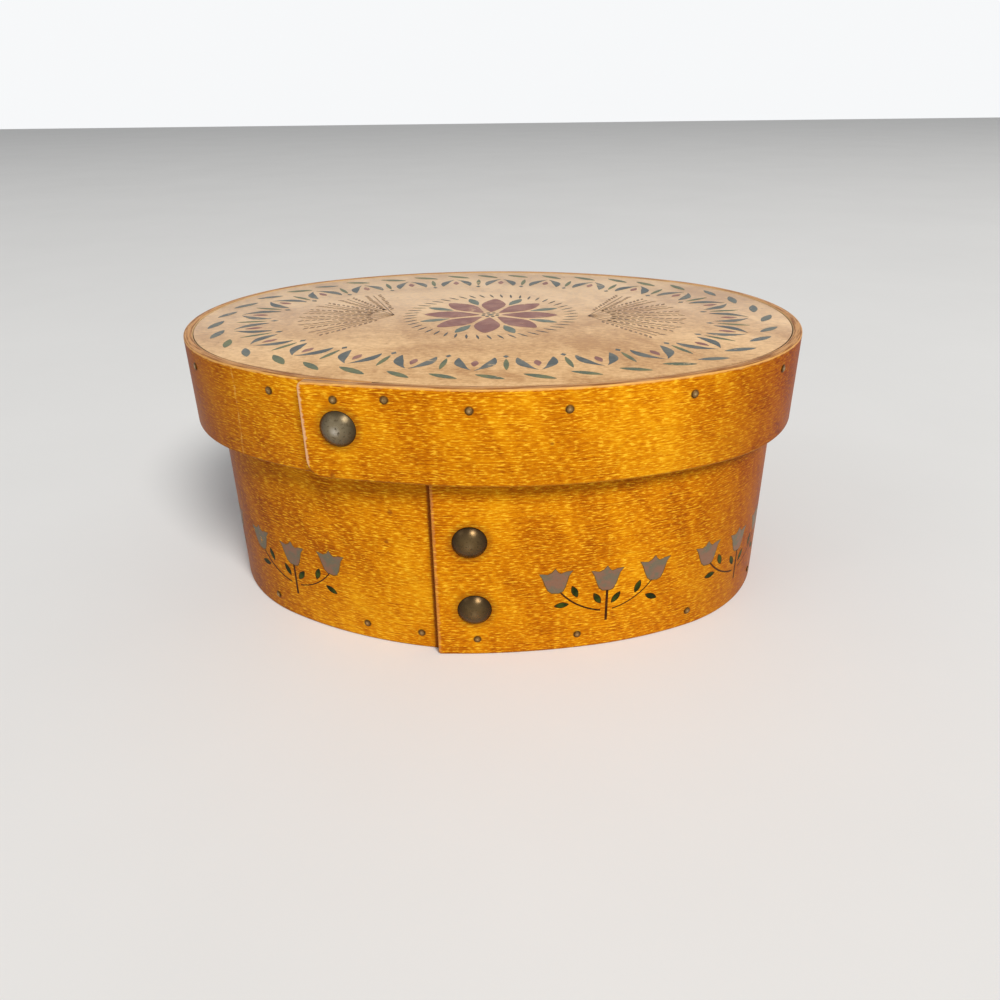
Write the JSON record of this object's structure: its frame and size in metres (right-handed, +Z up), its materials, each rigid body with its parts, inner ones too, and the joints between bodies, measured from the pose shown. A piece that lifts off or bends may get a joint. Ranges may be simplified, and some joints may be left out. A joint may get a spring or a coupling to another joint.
{
  "type": "bentwood pantry box",
  "caption": "Oval bentwood box with a lift-off lid: steam-bent hoops lapped and tacked at the front, each nailed round a flat board with small brads.",
  "frame": {"origin": "on the table, in the underside of the bottom board, below the middle of the body's oval", "axes": "+Z up, +X to the right along the oval's long axis, -Y to the front, where the lap joints are"},
  "size_m": [0.2088, 0.1533, 0.092],
  "materials": {
    "hoop_wood": "amber satin varnish",
    "board_wood": "pale satin varnish with painted ornament",
    "tack_brass": "antiqued, rubbed bright on the crown",
    "brad_steel": "dull"
  },
  "bodies": {
    "box": {"body_band": "hoop_wood", "base_board": "board_wood", "body_tack_upper": "tack_brass", "body_tack_lower": "tack_brass", "base_brads": "brad_steel"},
    "lid": {"lid_band": "hoop_wood", "lid_board": "board_wood", "lid_tack": "tack_brass", "lid_brads": "brad_steel"}
  },
  "joints": [
    {"name": "lid_lift", "type": "slide", "parent": "box", "child": "lid", "axis": [0, 0, 1], "range_m": [0, 0.1]}
  ]
}
